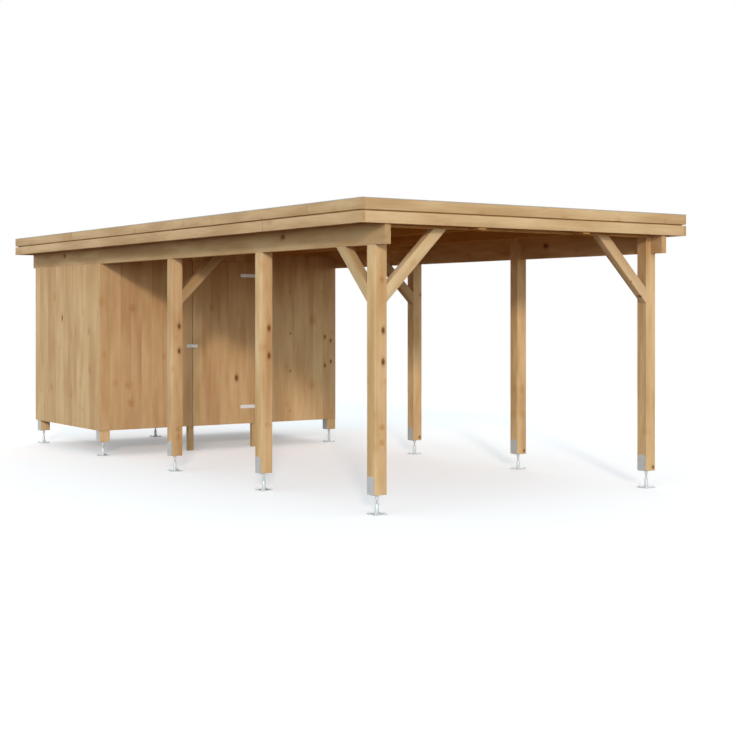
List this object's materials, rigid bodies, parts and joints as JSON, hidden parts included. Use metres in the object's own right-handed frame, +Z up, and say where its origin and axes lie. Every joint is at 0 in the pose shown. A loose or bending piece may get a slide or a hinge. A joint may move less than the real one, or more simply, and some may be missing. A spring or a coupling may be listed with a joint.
{
  "type": "timber carport with store room",
  "caption": "Flat-roofed timber carport on adjustable steel feet, with an open bay for a car and a boarded store room with a hinged door behind it",
  "frame": {"origin": "on the ground, in the middle of the roof's outline", "axes": "+Z up, +Y from the car's entry towards the store room, +X to the right as seen from the entry"},
  "size_m": [3.734, 7.979, 2.614],
  "materials": {
    "post_wood": "planed larch, untreated, with knots",
    "fascia_wood": "planed larch boards on edge",
    "board_wood": "upright larch boards with knots",
    "rough_wood": "sawn softwood, seen from inside",
    "galvanised": "zinc-coated steel, dull",
    "hardware": "zinc-plated steel",
    "edge_trim": "mill-finish sheet",
    "roof_felt": "dark roofing membrane"
  },
  "bodies": {
    "root": {"back_post": "post_wood", "braces_left": "post_wood", "braces_right": "post_wood", "cross_beam_back": "post_wood", "cross_beam_front": "post_wood", "cross_beam_middle": "post_wood", "cross_beam_store": "post_wood", "door_posts": "post_wood", "fascia_back": "fascia_wood", "fascia_battens": "fascia_wood", "fascia_front": "fascia_wood", "fascia_left": "fascia_wood", "fascia_right": "fascia_wood", "feet": "galvanised", "hinge_plates": "hardware", "latch_staple": "hardware", "left_post_1": "post_wood", "left_post_2": "post_wood", "left_post_3": "post_wood", "left_post_4": "post_wood", "left_post_5": "post_wood", "purlin_left": "post_wood", "purlin_right": "post_wood", "right_post_1": "post_wood", "right_post_2": "post_wood", "right_post_3": "post_wood", "right_post_4": "post_wood", "right_post_5": "post_wood", "roof_covering": "roof_felt", "roof_deck": "rough_wood", "roof_edge_trim": "edge_trim", "side_beam_left": "post_wood", "side_beam_right": "post_wood", "wall_back": "board_wood", "wall_front_left": "board_wood", "wall_front_right": "board_wood", "wall_front_top": "board_wood", "wall_left": "board_wood", "wall_rails": "rough_wood", "wall_right": "board_wood"},
    "door": {"door_leaf": "board_wood", "door_ledges": "rough_wood", "hinge_straps": "hardware", "latch_plate": "hardware"},
    "hasp": {"latch_hasp": "hardware"}
  },
  "joints": [
    {"name": "door_hinge", "type": "hinge", "parent": "root", "child": "door", "pos_m": [0.424, 1.8025, 1.3], "axis": [0, 0, 1], "range_deg": [0, 170]},
    {"name": "hasp_hinge", "type": "hinge", "parent": "door", "child": "hasp", "pos_m": [-0.412, 1.8035, 1.267], "axis": [0, 0, 1], "range_deg": [0, 170]}
  ]
}
